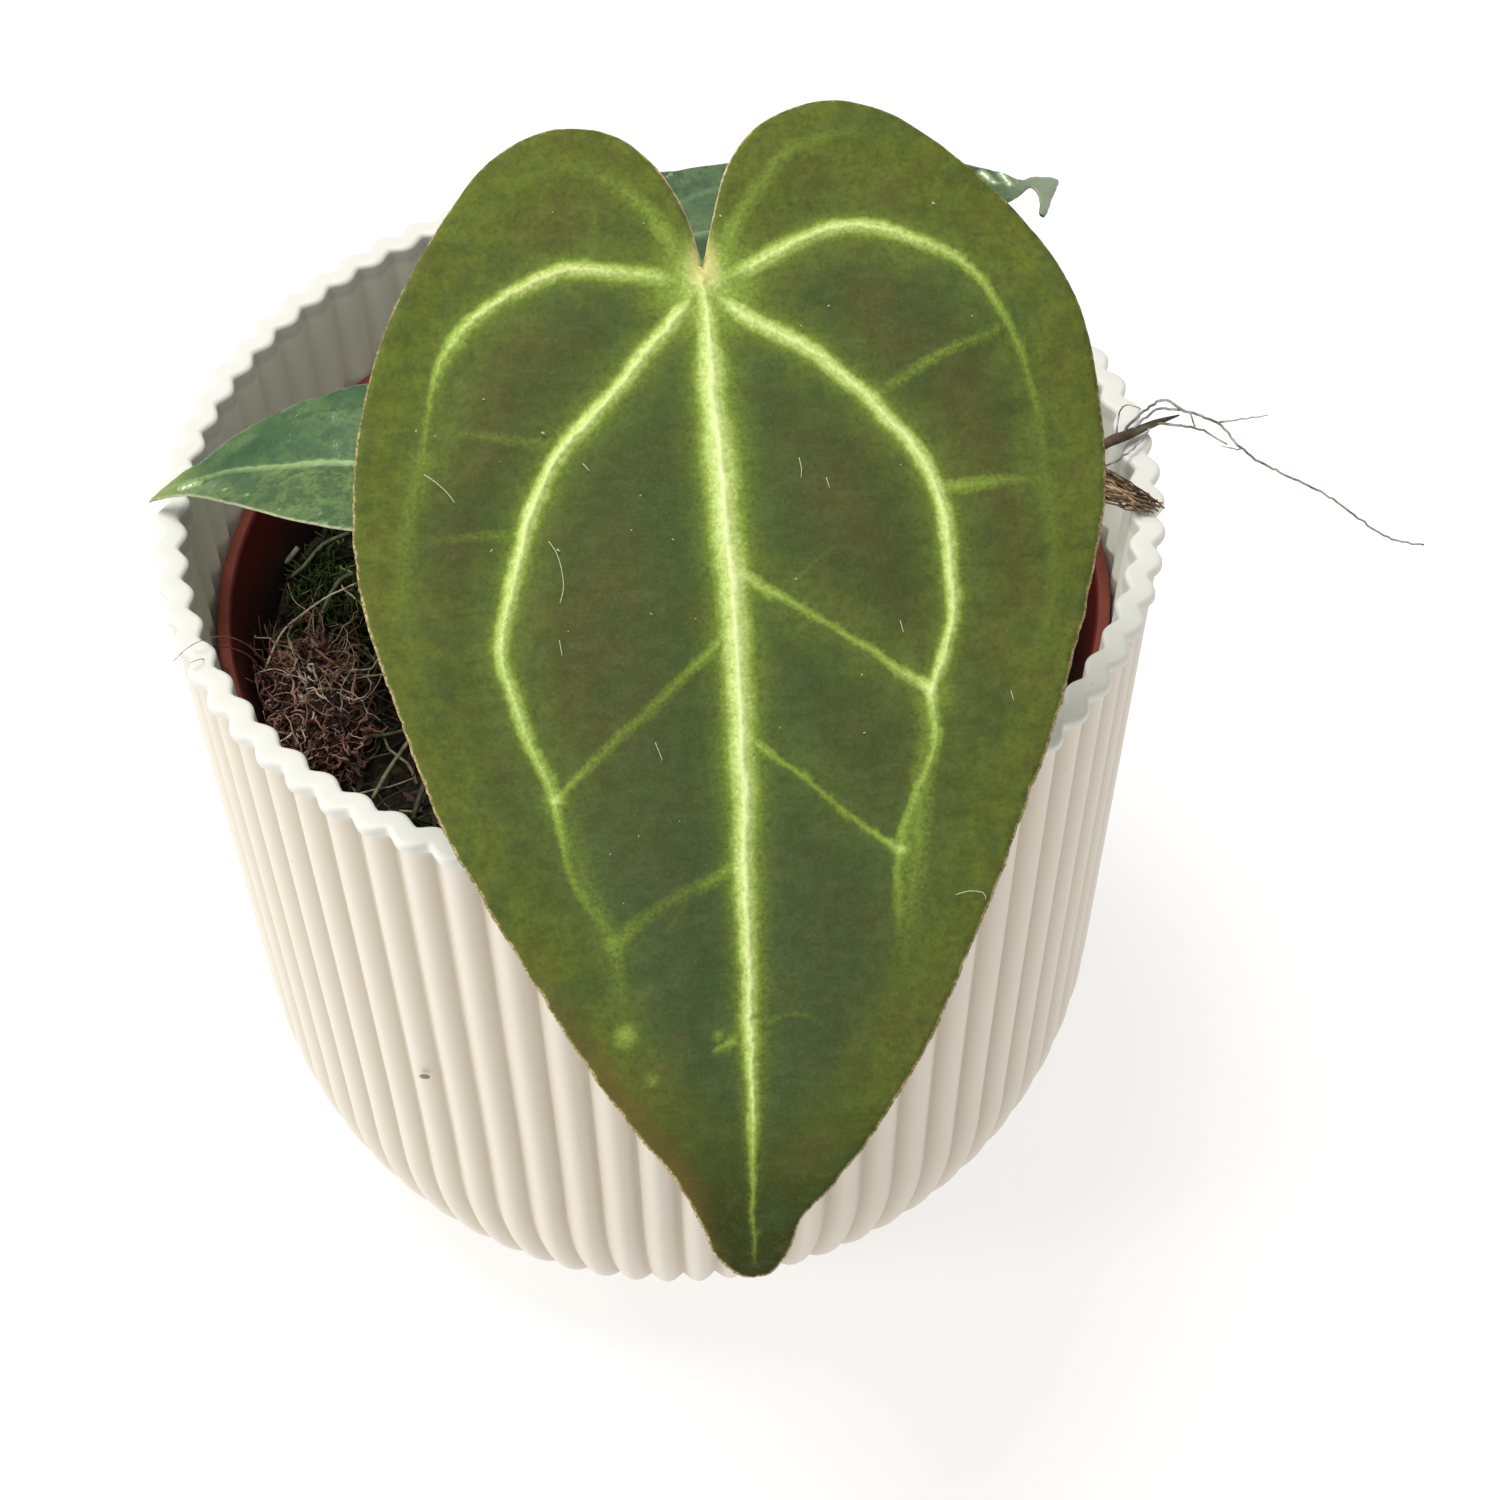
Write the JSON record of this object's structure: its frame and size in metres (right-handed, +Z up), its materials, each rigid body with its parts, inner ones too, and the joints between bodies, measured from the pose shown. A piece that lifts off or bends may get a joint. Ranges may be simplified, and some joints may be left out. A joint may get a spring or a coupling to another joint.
{
  "type": "potted anthurium regale",
  "caption": "Young anthurium with a large velvety heart-shaped leaf and smaller ones, in a nursery pot inside a white fluted cover pot, with roots over the rim.",
  "frame": {"origin": "centre of the cover pot's base, on the surface it stands on", "axes": "+Z up; the large leaf hangs over the lip towards -Y; the long root strand reaches towards +X"},
  "size_m": [0.1756, 0.1804, 0.2105],
  "materials": {
    "white_plastic": "off-white, matt, smooth",
    "brown_plastic": "red-brown, thin, slightly shiny",
    "potting_mix": "dark loose bark and fibre with moss",
    "stalk": "green stalks with dry papery sheaths",
    "front_leaf": "velvety olive green with pale lime veins",
    "left_leaf": "satin mid green",
    "back_leaf": "satin blue-green",
    "root": "dry, dull",
    "root_clump": "dry, fibrous"
  },
  "bodies": {
    "root": {"cover_pot": "white_plastic", "nursery_pot": "brown_plastic", "potting_mix": "potting_mix", "crown_with_petioles": "stalk", "front_leaf": "front_leaf", "left_leaf": "left_leaf", "back_leaf": "back_leaf", "climbing_roots": "root", "root_clump": "root_clump"}
  },
  "joints": []
}
